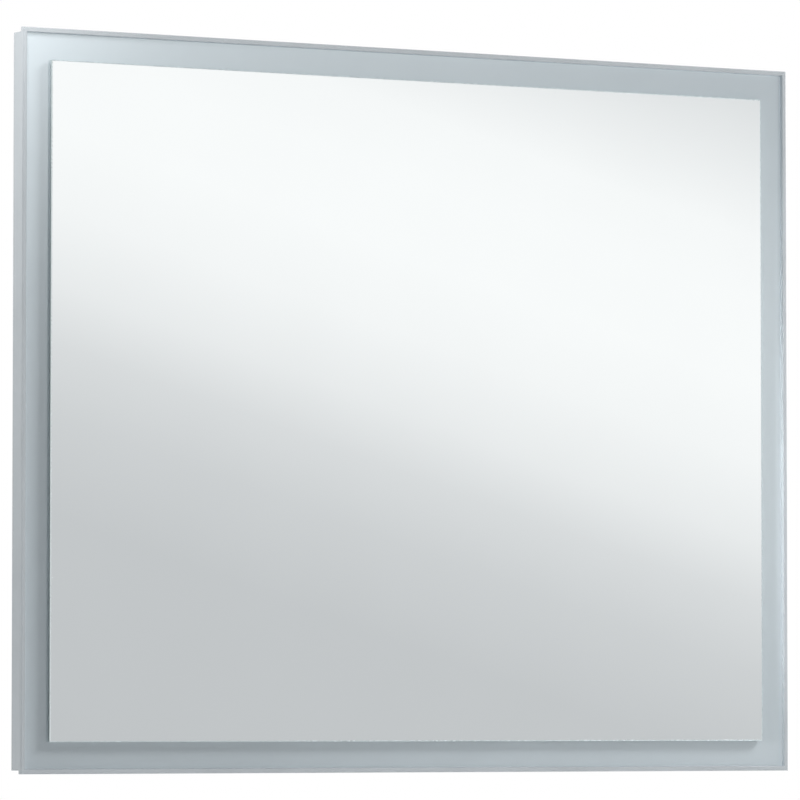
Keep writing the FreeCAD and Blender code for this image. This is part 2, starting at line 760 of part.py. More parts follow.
def ribbon(points, bend):
    """A flat twin lead along a route that stays at one depth."""
    route = rounded([(point, bend) for point in points], closed=False)
    ahead = (points[1] - points[0]).normalize()
    across = ahead.cross(Vector(0, 1, 0)) * (RIBBON_THICKNESS / 2)
    tall = Vector(0, RIBBON_WIDTH / 2, 0)
    start = points[0]
    outline = [start + across + tall, start - across + tall, start - across - tall, start + across - tall]
    section = Part.makePolygon(outline + outline[:1])
    return route.makePipeShell([section], True, False)


def strip_link(corner):
    """The short lead that joins two strips round a corner of the chassis."""
    line = CHASSIS_INSET - RIBBON_THICKNESS / 2
    y = y_at(STRIP_DEPTH)
    points = [Vector(-STRIP_END, y, -line), Vector(-line, y, -line), Vector(-line, y, -STRIP_END)]
    return at_corner(ribbon(points, CHASSIS_CORNER + SHEET + RIBBON_THICKNESS / 2), corner)


# ---------------------------------------------------------------- driver

def driver_screw_places():
    """The two screws in the driver's ears."""
    reach = DRIVER_LENGTH / 2 + DRIVER_EAR / 2
    return [DRIVER_X - reach, DRIVER_X + reach]


def terminal_window(side, front, rear):
    """The opening in the driver's end wall for a terminal."""
    half = DRIVER_POLE_PITCH + TERMINAL_PLAY
    end = DRIVER_X + side * DRIVER_LENGTH / 2
    inner = end - side * (DRIVER_WALL + TERMINAL_PLAY)
    low, high = sorted([end, inner])
    return box(low, high, front, rear, ELECTRICS_Z - half, ELECTRICS_Z + half)


def driver_base():
    """The driver's lower shell, with ears, board posts and end windows."""
    rear = PLATEAU_REAR + DRIVER_SPLIT
    shell = slab(DRIVER_LENGTH, DRIVER_HEIGHT, DRIVER_CORNER, PLATEAU_REAR, rear, DRIVER_X, ELECTRICS_Z)
    cavity = slab(
        DRIVER_LENGTH - 2 * DRIVER_WALL,
        DRIVER_HEIGHT - 2 * DRIVER_WALL,
        inner_cut(DRIVER_CORNER, DRIVER_WALL),
        PLATEAU_REAR + DRIVER_WALL,
        rear,
        DRIVER_X,
        ELECTRICS_Z,
    )
    ears = slab(
        DRIVER_LENGTH + 2 * DRIVER_EAR,
        DRIVER_EAR_HEIGHT,
        0,
        PLATEAU_REAR,
        PLATEAU_REAR + DRIVER_EAR_THICKNESS,
        DRIVER_X,
        ELECTRICS_Z,
    )
    base = joined([shell, ears]).cut(cavity)
    floor = PLATEAU_REAR + DRIVER_WALL
    base = base.fuse([slab(POST_WIDTH, POST_WIDTH, 0, floor, BOARD_FRONT, x, z) for x, z in post_places()])
    radius = DRIVER_SCREW_RADIUS + SCREW_PLAY
    ear_rear = PLATEAU_REAR + DRIVER_EAR_THICKNESS
    holes = [peg(x, ELECTRICS_Z, radius, PLATEAU_REAR, ear_rear) for x in driver_screw_places()]
    windows = [terminal_window(side, BOARD_REAR, rear) for side in (-1, 1)]
    return base.cut(holes + windows).removeSplitter()


def post_places():
    """The four posts that carry the driver's board."""
    half_x = DRIVER_LENGTH / 2 - DRIVER_TERMINAL_LENGTH - POST_INSET
    half_z = DRIVER_HEIGHT / 2 - POST_INSET
    return [(DRIVER_X + sx * half_x, ELECTRICS_Z + sz * half_z) for sx in (-1, 1) for sz in (-1, 1)]


def driver_cover():
    """The driver's upper shell, with bevelled rear edges and a row of cooling grooves."""
    front = PLATEAU_REAR + DRIVER_SPLIT
    rear = front + DRIVER_COVER_RISE
    shell = slab(DRIVER_LENGTH, DRIVER_HEIGHT, DRIVER_CORNER, front, rear, DRIVER_X, ELECTRICS_Z)
    rims = [edge for edge in shell.Edges if flat_at(edge, y_at(rear))]
    shell = shell.makeChamfer(DRIVER_WALL / 2, rims)
    cavity = slab(
        DRIVER_LENGTH - 2 * DRIVER_WALL,
        DRIVER_HEIGHT - 2 * DRIVER_WALL,
        inner_cut(DRIVER_CORNER, DRIVER_WALL),
        front,
        rear - DRIVER_WALL,
        DRIVER_X,
        ELECTRICS_Z,
    )
    window_rear = BOARD_REAR + DRIVER_TERMINAL_HEIGHT + TERMINAL_PLAY
    windows = [terminal_window(side, front, window_rear) for side in (-1, 1)]
    height = DRIVER_HEIGHT - 2 * GROOVE_MARGIN
    grooves = []
    for index in range(GROOVE_COUNT):
        x = DRIVER_X + (index - (GROOVE_COUNT - 1) / 2) * GROOVE_PITCH
        grooves.append(slab(GROOVE_WIDTH, height, 0, rear - GROOVE_DEPTH, rear, x, ELECTRICS_Z))
    return shell.cut([cavity] + windows + grooves)


def driver_board():
    """The driver's circuit board."""
    inset = DRIVER_WALL + BOARD_PLAY
    return slab(
        DRIVER_LENGTH - 2 * inset,
        DRIVER_HEIGHT - 2 * inset,
        inner_cut(DRIVER_CORNER, inset),
        BOARD_FRONT,
        BOARD_REAR,
        DRIVER_X,
        ELECTRICS_Z,
    )


def driver_terminal(side):
    """A two-pole terminal at one end of the driver's board, with the wells of its clamp screws."""
    end = DRIVER_X + side * DRIVER_LENGTH / 2
    inner = end - side * DRIVER_TERMINAL_LENGTH
    low, high = sorted([end, inner])
    rear = BOARD_REAR + DRIVER_TERMINAL_HEIGHT
    body = box(low, high, BOARD_REAR, rear, ELECTRICS_Z - DRIVER_POLE_PITCH, ELECTRICS_Z + DRIVER_POLE_PITCH)
    poles = (ELECTRICS_Z - DRIVER_POLE_PITCH / 2, ELECTRICS_Z + DRIVER_POLE_PITCH / 2)
    middle = (low + high) / 2
    return body.cut([peg(middle, z, DRIVER_WELL_RADIUS, rear - DRIVER_WELL_DEPTH, rear) for z in poles])


def driver_transformer():
    """The transformer: a ferrite core with two windows and a coil in them."""
    x = DRIVER_X
    front = BOARD_REAR
    rear = front + CORE_HEIGHT
    half_l = CORE_LENGTH / 2
    half_w = CORE_WIDTH / 2
    core = box(x - half_l, x + half_l, front, rear, ELECTRICS_Z - half_w, ELECTRICS_Z + half_w)
    inner = half_l - CORE_LIMB
    window = box(x - inner, x + inner, front, rear, ELECTRICS_Z - half_w, ELECTRICS_Z + half_w)
    coil = box(x - inner, x + inner, front, rear - COIL_SET_BACK, ELECTRICS_Z - half_w, ELECTRICS_Z + half_w)
    bridge = box(x - half_l, x + half_l, front, rear, ELECTRICS_Z - CORE_LIMB, ELECTRICS_Z + CORE_LIMB)
    return joined([core.cut(window), bridge, coil])


def driver_capacitors():
    """Round capacitors lying on the board, two on the mains side and one on the low-voltage side."""
    centre_y = y_at(BOARD_REAR + CAPACITOR_RADIUS)
    bodies = []
    for x_step, z_step in ((1, 1), (1, -1), (-1, 0)):
        x = DRIVER_X + x_step * (CORE_LENGTH + CAPACITOR_RADIUS) - CAPACITOR_LENGTH / 2
        z = ELECTRICS_Z + z_step * 2 * CAPACITOR_RADIUS
        bodies.append(prism(Vector(x, centre_y, z), Vector(1, 0, 0), CAPACITOR_RADIUS, CAPACITOR_LENGTH))
    return Part.makeCompound(bodies)


def driver_screws():
    """The screws in the driver's ears."""
    seat = PLATEAU_REAR + DRIVER_EAR_THICKNESS
    tip = DRIVER_EAR_THICKNESS + SHEET
    return Part.makeCompound([
        screw(x, ELECTRICS_Z, DRIVER_SCREW_RADIUS, DRIVER_SCREW_HEAD_RADIUS, DRIVER_SCREW_HEAD, tip, seat)
        for x in driver_screw_places()
    ])


# ---------------------------------------------------------------- mains side

def block_poles():
    """The heights of the terminal block's poles, from the top."""
    return [ELECTRICS_Z + ((BLOCK_POLES - 1) / 2 - index) * BLOCK_POLE for index in range(BLOCK_POLES)]


def terminal_block():
    """The mains terminal block: bevelled sides, grooves between the poles and screw wells."""
    half_h = BLOCK_POLES * BLOCK_POLE / 2
    rear = PLATEAU_REAR + BLOCK_DEPTH
    half_w = BLOCK_WIDTH / 2
    outline = [
        (-half_w, PLATEAU_REAR),
        (half_w, PLATEAU_REAR),
        (half_w, rear - BLOCK_STEP),
        (half_w - BLOCK_STEP, rear),
        (-half_w + BLOCK_STEP, rear),
        (-half_w, rear - BLOCK_STEP),
    ]
    points = [Vector(BLOCK_X + x, y_at(depth), ELECTRICS_Z - half_h) for x, depth in outline]
    body = Part.Face(Part.makePolygon(points + points[:1])).extrude(Vector(0, 0, 2 * half_h))
    radius = BLOCK_SCREW_RADIUS + SCREW_PLAY
    cuts = [peg(x, z, radius, rear - BLOCK_STEP, rear) for x, z in block_screw_places()]
    for pole in block_poles()[1:]:
        z = pole + BLOCK_POLE / 2
        cuts.append(slab(BLOCK_WIDTH, BLOCK_GROOVE, 0, rear - BLOCK_GROOVE_DEPTH, rear, BLOCK_X, z))
    return body.cut(cuts)


def block_screw_places():
    """Two clamp screws on each pole."""
    offset = BLOCK_WIDTH / 2 - BLOCK_STEP - BLOCK_SCREW_RADIUS - 2 * SCREW_PLAY
    return [(BLOCK_X + side * offset, z) for z in block_poles() for side in (-1, 1)]


def block_screws():
    """Slotted clamp screws at the bottom of the block's wells."""
    floor = PLATEAU_REAR + BLOCK_DEPTH - BLOCK_STEP
    top = floor + BLOCK_SCREW_HEIGHT
    screws = []
    for x, z in block_screw_places():
        body = peg(x, z, BLOCK_SCREW_RADIUS, floor, top)
        slot = slab(2 * BLOCK_SCREW_RADIUS, BLOCK_SCREW_SLOT, 0, top - BLOCK_SCREW_SLOT, top, x, z)
        screws.append(body.cut(slot))
    return Part.makeCompound(screws)


def cable_grommet():
    """The rubber ring in the rear panel where the mains cable comes in."""
    front = PANEL_FRONT - GROMMET_FRONT
    rear = PANEL_REAR + GROMMET_REAR
    section = [
        (GROMMET_BORE, front),
        (GROMMET_FLANGE, front),
        (GROMMET_FLANGE, PANEL_FRONT),
        (GROMMET_GROOVE, PANEL_FRONT),
        (GROMMET_GROOVE, PANEL_REAR),
        (GROMMET_FLANGE, PANEL_REAR),
        (GROMMET_FLANGE, rear),
        (GROMMET_BORE, rear),
    ]
    points = [Vector(GROMMET_X + radius, y_at(depth), ELECTRICS_Z) for radius, depth in section]
    centre = Vector(GROMMET_X, 0, ELECTRICS_Z)
    return Part.Face(Part.makePolygon(points + points[:1])).revolve(centre, Vector(0, 1, 0), 360)


def feed_height():
    """The height at which the low-voltage lead passes the chassis wall, below the left strip's end."""
    return CENTRE_Z - HEIGHT / 2 + STRIP_END - FEED_BELOW_STRIP


def feed_tube(radius, start, end):
    """A bar along X round the low-voltage lead, between two distances inwards from the wall's outer face."""
    foot = Vector(-WIDTH / 2 + CHASSIS_INSET + start, y_at(LEAD_DEPTH), feed_height())
    return prism(foot, Vector(1, 0, 0), radius, end - start)


def feed_grommet():
    """The grommet round the low-voltage lead in the chassis wall."""
    outer = feed_tube(FEED_GROMMET_RADIUS, -FEED_GROMMET_FLANGE, 0)
    neck = feed_tube(FEED_GROMMET_NECK, 0, SHEET)
    inner = feed_tube(FEED_GROMMET_RADIUS, SHEET, SHEET + FEED_GROMMET_FLANGE)
    bore = feed_tube(RIBBON_WIDTH / 2 + FEED_BORE_PLAY, -FEED_GROMMET_FLANGE, SHEET + FEED_GROMMET_FLANGE)
    return joined([outer, neck, inner]).cut(bore)


# ---------------------------------------------------------------- earth point and leads

def earth_place():
    """The X and Z of the earth stud."""
    return EARTH_X, ELECTRICS_Z - EARTH_DROP


def earth_stud():
    """The stud welded on the chassis."""
    x, z = earth_place()
    return peg(x, z, STUD_RADIUS, PLATEAU_REAR, PLATEAU_REAR + STUD_LENGTH)


def earth_ring():
    """The ring tag on the stud and the barrel that grips the lead."""
    x, z = earth_place()
    rear = PLATEAU_REAR + RING_THICKNESS
    ring = peg(x, z, RING_RADIUS, PLATEAU_REAR, rear)
    tongue = box(x - LEAD_RADIUS, x + LEAD_RADIUS, PLATEAU_REAR, rear, z, z + RING_RADIUS + RING_THICKNESS)
    barrel_foot = Vector(x, y_at(PLATEAU_REAR + BARREL_RADIUS), z + RING_RADIUS)
    barrel = prism(barrel_foot, Vector(0, 0, 1), BARREL_RADIUS, RING_BARREL)
    hole = peg(x, z, STUD_RADIUS + SCREW_PLAY / 2, PLATEAU_REAR, rear)
    return joined([ring, tongue, barrel]).cut(hole)


def earth_nut():
    """The nut that clamps the ring tag."""
    x, z = earth_place()
    front = PLATEAU_REAR + RING_THICKNESS
    radius = NUT_HALF_WIDTH / math.cos(math.pi / HEXAGON)
    body = peg(x, z, radius, front, front + NUT_HEIGHT, HEXAGON)
    return body.cut(peg(x, z, STUD_RADIUS, front, front + NUT_HEIGHT))


def lead(points, bend=LEAD_BEND):
    """A round insulated lead of straight runs and tangent bends."""
    route = rounded([(point, bend) for point in points], closed=False)
    axis = (points[1] - points[0]).normalize()
    section = Part.makePolygon(regular(points[0], axis, LEAD_RADIUS, SMALL_SIDES))
    return route.makePipeShell([section], True, False)


def mains_lead(pole, terminal):
    """The lead from one pole of the block to one pole of the driver's mains terminal."""
    y = y_at(LEAD_DEPTH)
    block_side = BLOCK_X - BLOCK_WIDTH / 2
    driver_side = DRIVER_X + DRIVER_LENGTH / 2
    span = block_side - driver_side
    start_z = block_poles()[pole]
    end_z = ELECTRICS_Z + terminal * DRIVER_POLE_PITCH / 2
    points = [
        Vector(block_side, y, start_z),
        Vector(block_side - span / 3, y, start_z),
        Vector(driver_side + span / 3, y, end_z),
        Vector(driver_side, y, end_z),
    ]
    return lead(points)


def earth_lead():
    """The lead from the block's lowest pole to the ring tag."""
    x, z = earth_place()
    start = Vector(BLOCK_X - BLOCK_WIDTH / 2, y_at(LEAD_DEPTH), block_poles()[-1])
    end = Vector(x, y_at(PLATEAU_REAR + BARREL_RADIUS), z + RING_RADIUS + RING_BARREL)
    points = [start, Vector(x, start.y, start.z), Vector(x, end.y, start.z - EARTH_LEAD_DROP), end]
    return lead(points, EARTH_LEAD_BEND)


def feed_line():
    """The X of the low-voltage lead's run down the chassis, clear of the wall."""
    return -WIDTH / 2 + CHASSIS_INSET + SHEET + RIBBON_EDGE_RUN


def feed_lead():
    """The flat lead from the driver down the chassis and out to the left strip's lower end."""
    y = y_at(LEAD_DEPTH)
    wall = -WIDTH / 2 + CHASSIS_INSET
    outside = wall - FEED_GROMMET_FLANGE - FEED_TURN
    on_board = wall - STRIP_THICKNESS - RIBBON_THICKNESS / 2
    strip_foot = CENTRE_Z - HEIGHT / 2 + STRIP_END
    driver_side = DRIVER_X - DRIVER_LENGTH / 2
    corners = [
        (Vector(driver_side, y, ELECTRICS_Z), 0),
        (Vector(feed_line(), y, ELECTRICS_Z), RIBBON_BEND),
        (Vector(feed_line(), y, feed_height()), RIBBON_BEND),
        (Vector(outside, y, feed_height()), FEED_TURN),
        (Vector(outside, y, feed_height() + FEED_BELOW_STRIP / 2), FEED_TURN),
        (Vector(on_board, y, strip_foot), FEED_TURN),
        (Vector(on_board, y, strip_foot + FEED_ON_BOARD), 0),
    ]
    route = rounded(corners, closed=False)
    tall = Vector(0, RIBBON_WIDTH / 2, 0)
    thick = Vector(0, 0, RIBBON_THICKNESS / 2)
    start = corners[0][0]
    outline = [start + thick + tall, start - thick + tall, start - thick - tall, start + thick - tall]
    return route.makePipeShell([Part.makePolygon(outline + outline[:1])], True, False)


def lead_clips():
    """Saddles on the chassis that hold the low-voltage lead."""
    x = feed_line()
    top = ELECTRICS_Z - CLIP_MARGIN
    span = top - feed_height() - CLIP_MARGIN
    front = LEAD_DEPTH - RIBBON_WIDTH / 2 - CLIP_PLAY
    rear = LEAD_DEPTH + RIBBON_WIDTH / 2
    half_slot = RIBBON_THICKNESS / 2 + CLIP_PLAY
    clips = []
    for index in range(CLIP_COUNT):
        z = top - span * index / (CLIP_COUNT - 1)
        low = z - CLIP_LENGTH / 2
        foot = slab(CLIP_FOOT, CLIP_LENGTH, 0, PLATEAU_REAR, PLATEAU_REAR + CLIP_FLOOR, x, z)
        post = box(x - CLIP_WIDTH / 2, x + CLIP_WIDTH / 2, PLATEAU_REAR, rear, low, low + CLIP_LENGTH)
        slot = box(x - half_slot, x + half_slot, front, rear, low, low + CLIP_LENGTH)
        clips.append(joined([foot, post]).cut(slot))
    return Part.makeCompound(clips)


def model():
    """Every node's shape by its name."""
    nodes = {
        "mirror_pane": mirror_pane(),
        "mirror_film": mirror_film(),
        "mirror_tape": tape_strips(),
        "diffuser_ring": diffuser(),
        "chassis": chassis(),
        "back_panel": rear_panel(),
        "panel_screws": panel_screws(),
        "chassis_screws": chassis_screws(),
        "wall_pads": wall_pads(),
        "hanger_rivets": hanger_rivets(),
        "driver_base": driver_base(),
        "driver_cover": driver_cover(),
        "driver_board": driver_board(),
        "driver_transformer": driver_transformer(),
        "driver_capacitors": driver_capacitors(),
        "driver_mains_terminal": driver_terminal(1),
        "driver_output_terminal": driver_terminal(-1),
        "driver_screws": driver_screws(),
        "terminal_block": terminal_block(),
        "terminal_screws": block_screws(),
        "cable_grommet": cable_grommet(),
        "feed_grommet": feed_grommet(),
        "earth_stud": earth_stud(),
        "earth_ring": earth_ring(),
        "earth_nut": earth_nut(),
        "lead_live": mains_lead(0, 1),
        "lead_neutral": mains_lead(1, -1),
        "lead_earth": earth_lead(),
        "lead_strip_feed": feed_lead(),
        "lead_clips": lead_clips(),
    }
    key = corner_key()
    screws = []
    for corner in CORNERS:
        nodes["corner_key_" + corner] = at_corner(key, corner)
        screws += [at_corner(grub_screw(foot, axis), corner) for foot, axis in key_screw_places()]
    nodes["corner_key_screws"] = Part.makeCompound(screws)
    for side in SIDES:
        nodes["frame_" + side] = frame_bar(side)
        nodes["strip_board_" + side] = strip_board(side)
        nodes["strip_chips_" + side] = strip_chips(side)
    for corner in ("top_left", "top_right", "bottom_right"):
        nodes["strip_link_" + corner] = strip_link(corner)
    for name, sign in (("left", -1), ("right", 1)):
        nodes["wall_bracket_" + name] = wall_bracket(sign * FIXING_SPAN / 2)
        nodes["hanger_" + name] = hanger(sign * FIXING_SPAN / 2)
    return nodes


os.makedirs("parts", exist_ok=True)
for node, shape in model().items():
    shape.exportStep("parts/" + node + ".step")
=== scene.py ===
import json
import math

import bmesh
import bpy
from mathutils import Euler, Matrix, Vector


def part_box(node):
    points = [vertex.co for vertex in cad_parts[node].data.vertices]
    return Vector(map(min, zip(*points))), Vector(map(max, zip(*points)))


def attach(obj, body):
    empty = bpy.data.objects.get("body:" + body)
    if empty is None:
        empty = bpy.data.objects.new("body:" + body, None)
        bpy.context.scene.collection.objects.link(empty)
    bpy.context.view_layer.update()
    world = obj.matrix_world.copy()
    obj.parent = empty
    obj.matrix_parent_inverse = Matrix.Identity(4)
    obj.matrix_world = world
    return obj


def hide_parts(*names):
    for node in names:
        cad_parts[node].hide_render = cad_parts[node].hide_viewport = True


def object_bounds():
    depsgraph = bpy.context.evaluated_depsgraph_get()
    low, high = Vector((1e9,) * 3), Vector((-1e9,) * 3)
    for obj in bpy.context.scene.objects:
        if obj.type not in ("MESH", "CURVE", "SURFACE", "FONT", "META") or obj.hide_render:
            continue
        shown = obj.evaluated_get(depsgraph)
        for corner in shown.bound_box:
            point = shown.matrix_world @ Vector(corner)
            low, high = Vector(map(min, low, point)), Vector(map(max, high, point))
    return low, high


# Lighted bathroom mirror, in metres and watts. The glass faces -Y, the wall lies at Y = 0.

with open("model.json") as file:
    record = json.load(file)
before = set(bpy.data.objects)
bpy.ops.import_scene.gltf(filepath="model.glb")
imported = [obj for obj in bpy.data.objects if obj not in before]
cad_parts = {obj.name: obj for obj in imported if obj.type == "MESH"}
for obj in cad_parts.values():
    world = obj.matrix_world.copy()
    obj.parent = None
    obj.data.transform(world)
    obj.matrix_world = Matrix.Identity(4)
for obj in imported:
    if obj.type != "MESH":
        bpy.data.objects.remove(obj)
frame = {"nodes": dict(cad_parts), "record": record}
cad_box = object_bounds()

# Camera, fitted to the outline of the frame and of the glass; lens and sensor in millimetres
CAMERA_PLACE = Vector((-2.9428, -5.4941, -0.5827))
CAMERA_YAW = math.radians(28.137)
CAMERA_PITCH = math.radians(3.025)
CAMERA_LENS = 269.8
CAMERA_SENSOR = 36.0
CAMERA_REACH = 100.0

# Floor, even light of the world, and lamps
FLOOR_DROP = 0.42
FLOOR_WIDTH = 16.0
FLOOR_GLOW = 0.7
FLOOR_TONES = (0.78, 0.8)
AMBIENT = 0.035
WHITE = (1.0, 1.0, 1.0)
KEY_PLACE = Vector((3.7, -1.35, 2.8))
KEY_SIZE = 0.9
KEY_POWER = 350.0
SIDE_PLACE = Vector((-1.1, 0.25, 0.15))
SIDE_SIZE = 0.4
SIDE_POWER = 5.5
CORNER_PLACE = Vector((-0.53, -0.17, 0.2))
CORNER_SIZE = 0.12
CORNER_POWER = 0.58
LIP_PLACE = Vector((-0.9, -0.3, -0.35))
LIP_SIZE = 0.1
LIP_HEIGHT = 0.32
LIP_POWER = 1.0
LIP_SPREAD = math.radians(28)

# Reflected studio wall: a soft slanting bright band, repeated all round
BAND_SLOPE = 0.37
BAND_CENTRE = 0.0316  # of the band's middle, along the axis in which the band changes
BAND_TINT = (0.985, 1.0, 1.0)
BAND_FADE = (1.0, 0.965, 0.925)  # powers of the tone, so that its dark parts lean to blue
BAND_TONES = [  # degrees above the band's middle, and tone
    (-6.2, 0.56),
    (-5.6, 0.568),
    (-4.0, 0.585),
    (-3.1, 0.65),
    (-2.45, 0.735),
    (-1.9, 0.86),
    (-1.2, 0.955),
    (-0.5, 1.0),
    (0.2, 1.0),
    (0.8, 0.98),
    (1.4, 0.88),
    (2.1, 0.76),
    (2.8, 0.5),
    (3.4, 0.56),
]

# Materials that show
RAMP_START = 0.3
RAMP_END = 0.7
ALUMINIUM = (0.57, 0.605, 0.63)
ALUMINIUM_METALLIC = 0.62
ALUMINIUM_ROUGHNESS = 0.22
ALUMINIUM_GRAIN = 0.02
SATIN_DARK = (0.59, 0.65, 0.685)
SATIN_LIGHT = (0.61, 0.67, 0.705)
SATIN_METALLIC = 0.4
SATIN_TILT = 0.002
SATIN_TWIST = 0.0105
SILVER_DARK = (0.945, 0.955, 0.955)
SILVER_LIGHT = (0.955, 0.965, 0.965)
GLASS_INDEX = 1.52
POLISHED_GLASS = (0.88, 0.93, 0.93)
GROUND_GLASS = (0.44, 0.53, 0.52)
PAINT_DARK = (0.2, 0.22, 0.23)
PAINT_LIGHT = (0.24, 0.26, 0.27)
DUST = 0.035

# Nodes of the frame, and distance under which vertices of a node are one
FRAME_BARS = ("frame_top", "frame_right", "frame_bottom", "frame_left")
WELD = 1e-6

# Details that the solids leave plain
ARRIS = 0.001
SHARP_ANGLE = math.radians(40)
TURNED_SEGMENTS = 24
RUBBER_SEGMENTS = 48
DOME_RINGS = 5
SCREW_SHANK = 0.0015
SCREW_HEAD = 0.0016
SCREW_POINT = 0.5  # of the shank's radius
SCREW_RIM = 0.25  # of the head's height
SCREW_FLAT = 0.3  # of the head's radius
RECESS_REACH = 0.62  # of the head's radius, like its width and depth
RECESS_WIDTH = 0.2
RECESS_DEPTH = 0.55
RECESS_STRAIGHT = 0.3  # of the recess's depth
RECESS_FLOOR = 0.45  # of the recess's reach
RIVET_HEAD = 0.0014
RIVET_SHANK = 0.002
RIVET_TAIL_FLAT = 0.55  # of the rivet's radius
RIVET_TAIL_SLOPE = 0.6  # of the head's height
RIVET_RIM = 0.3  # of the head's height
RIVET_FLAT = 0.35  # of the rivet's radius
RUBBER_ROUND = 0.0012
GROMMET_BORE = 0.0045
GROMMET_NECK = 0.008
GROMMET_FRONT = 0.002
GROMMET_REAR = 0.0015


# ---------------------------------------------------------------- materials

class Surface:
    """A node material in the making, on object coordinates in metres."""

    def __init__(self, name, metallic=0.0, **sockets):
        self.material = bpy.data.materials.new(name)
        self.material.use_nodes = True
        self.nodes = self.material.node_tree.nodes
        self.links = self.material.node_tree.links
        self.shader = self.nodes["Principled BSDF"]
        self.shader.inputs["Metallic"].default_value = metallic
        for socket, value in sockets.items():
            self.shader.inputs[socket.replace("_", " ")].default_value = value
        self.bump_end = None

    def add(self, kind, **properties):
        """A node of this kind, with its properties set."""
        node = self.nodes.new(kind)
        for key, value in properties.items():
            setattr(node, key, value)
        return node

    def place(self, stretch=(1, 1, 1)):
        """Object coordinates, scaled along each axis."""
        mapping = self.add("ShaderNodeMapping")
        mapping.inputs["Scale"].default_value = stretch
        self.links.new(self.add("ShaderNodeTexCoord").outputs["Object"], mapping.inputs["Vector"])
        return mapping.outputs["Vector"]

    def noise(self, scale, detail=4.0, stretch=(1, 1, 1)):
        """Cloudy values with this many cells to the metre."""
        node = self.add("ShaderNodeTexNoise")
        node.inputs["Scale"].default_value = scale
        node.inputs["Detail"].default_value = detail
        self.links.new(self.place(stretch), node.inputs["Vector"])
        return node.outputs["Fac"]

    def cells(self, scale, output="Distance", stretch=(1, 1, 1)):
        """Voronoi cells with this many to the metre."""
        node = self.add("ShaderNodeTexVoronoi")
        node.inputs["Scale"].default_value = scale
        self.links.new(self.place(stretch), node.inputs["Vector"])
        return node.outputs[output]

    def between(self, factor, low, high, start=RAMP_START, end=RAMP_END):
        """A number that goes from low to high as the factor goes from start to end."""
        node = self.add("ShaderNodeMapRange")
        limits = {"From Min": start, "From Max": end, "To Min": low, "To Max": high}
        for socket, value in limits.items():
            node.inputs[socket].default_value = value
        self.links.new(factor, node.inputs["Value"])
        return node.outputs["Result"]

    def tint(self, factor, *colours):
        """A colour ramp over the factor."""
        node = self.add("ShaderNodeValToRGB")
        elements = node.color_ramp.elements
        while len(elements) < len(colours):
            elements.new(0.5)
        step = (RAMP_END - RAMP_START) / (len(colours) - 1)
        for index, colour in enumerate(colours):
            elements[index].position = RAMP_START + step * index
            elements[index].color = (*colour, 1.0)
        self.links.new(factor, node.inputs["Fac"])
        return node.outputs["Color"]

    def colour(self, socket):
        """Takes the base colour from a socket."""
        self.links.new(socket, self.shader.inputs["Base Color"])
        return self

    def warp(self, level, twist):
        """Tilts the sheet about X, by this much at X = 0 and by the twist for each metre along X."""
        apart = self.add("ShaderNodeSeparateXYZ")
        self.links.new(self.place(), apart.inputs["Vector"])
        tilt = self.add("ShaderNodeMath", operation="MULTIPLY_ADD")
        tilt.inputs[1].default_value = twist
        tilt.inputs[2].default_value = level
        self.links.new(apart.outputs["X"], tilt.inputs[0])
        lean = self.add("ShaderNodeCombineXYZ")
        self.links.new(tilt.outputs["Value"], lean.inputs["Z"])
        total = self.add("ShaderNodeVectorMath", operation="ADD")
        self.links.new(self.add("ShaderNodeNewGeometry").outputs["Normal"], total.inputs[0])
        self.links.new(lean.outputs["Vector"], total.inputs[1])
        whole = self.add("ShaderNodeVectorMath", operation="NORMALIZE")
        self.links.new(total.outputs["Vector"], whole.inputs[0])
        self.bump_end = whole.outputs["Vector"]
        return self

    def roughness(self, factor, low, high):
        """Lets the roughness go from low to high with the factor."""
        self.links.new(self.between(factor, low, high), self.shader.inputs["Roughness"])
        return self

    def bump(self, factor, depth):
        """Adds relief of this depth."""
        node = self.add("ShaderNodeBump")
        node.inputs["Strength"].default_value = 1.0
        node.inputs["Distance"].default_value = depth
        self.links.new(factor, node.inputs["Height"])
        if self.bump_end:
            self.links.new(self.bump_end, node.inputs["Normal"])
        self.bump_end = node.outputs["Normal"]
        self.links.new(self.bump_end, self.shader.inputs["Normal"])
        return self


def shades(colour, spread):
    """A darker and a lighter version of a colour."""
    return [
        tuple(min(1.0, channel * factor) for channel in colour)
        for factor in (1 - spread, 1 + spread)
    ]


def brushed_aluminium(name, grain):
    """Satin anodised aluminium with fine lines along the bar."""
    surface = Surface(name, metallic=ALUMINIUM_METALLIC)
    lines = surface.noise(scale=2600, detail=2.0, stretch=grain)
    clouds = surface.noise(scale=14, detail=5.0)
    surface.colour(surface.tint(clouds, *shades(ALUMINIUM, spread=0.04)))
    surface.roughness(lines, low=ALUMINIUM_ROUGHNESS - 0.03, high=ALUMINIUM_ROUGHNESS + 0.04)
    return surface.bump(lines, depth=0.0000015).material


def plastic(name, colour, roughness, grain=700, depth=0.00003):
    """Moulded plastic with a fine texture and slight unevenness."""
    surface = Surface(name)
    texture = surface.noise(scale=grain, detail=3.0)
    clouds = surface.noise(scale=35, detail=4.0)
    surface.colour(surface.tint(clouds, *shades(colour, spread=0.05)))
    surface.roughness(texture, low=roughness - 0.08, high=roughness + 0.08)
    return surface.bump(texture, depth).material


def metal(name, colour, roughness, grain=260):
    """Plain or plated metal with small stains and handling marks."""
    surface = Surface(name, metallic=1.0)
    stains = surface.noise(scale=60, detail=6.0)
    marks = surface.noise(scale=grain, detail=4.0, stretch=(1, 1, 0.2))
    surface.colour(surface.tint(stains, *shades(colour, spread=0.12)))
    surface.roughness(marks, low=roughness - 0.1, high=roughness + 0.12)
    return surface.bump(marks, depth=0.00002).material


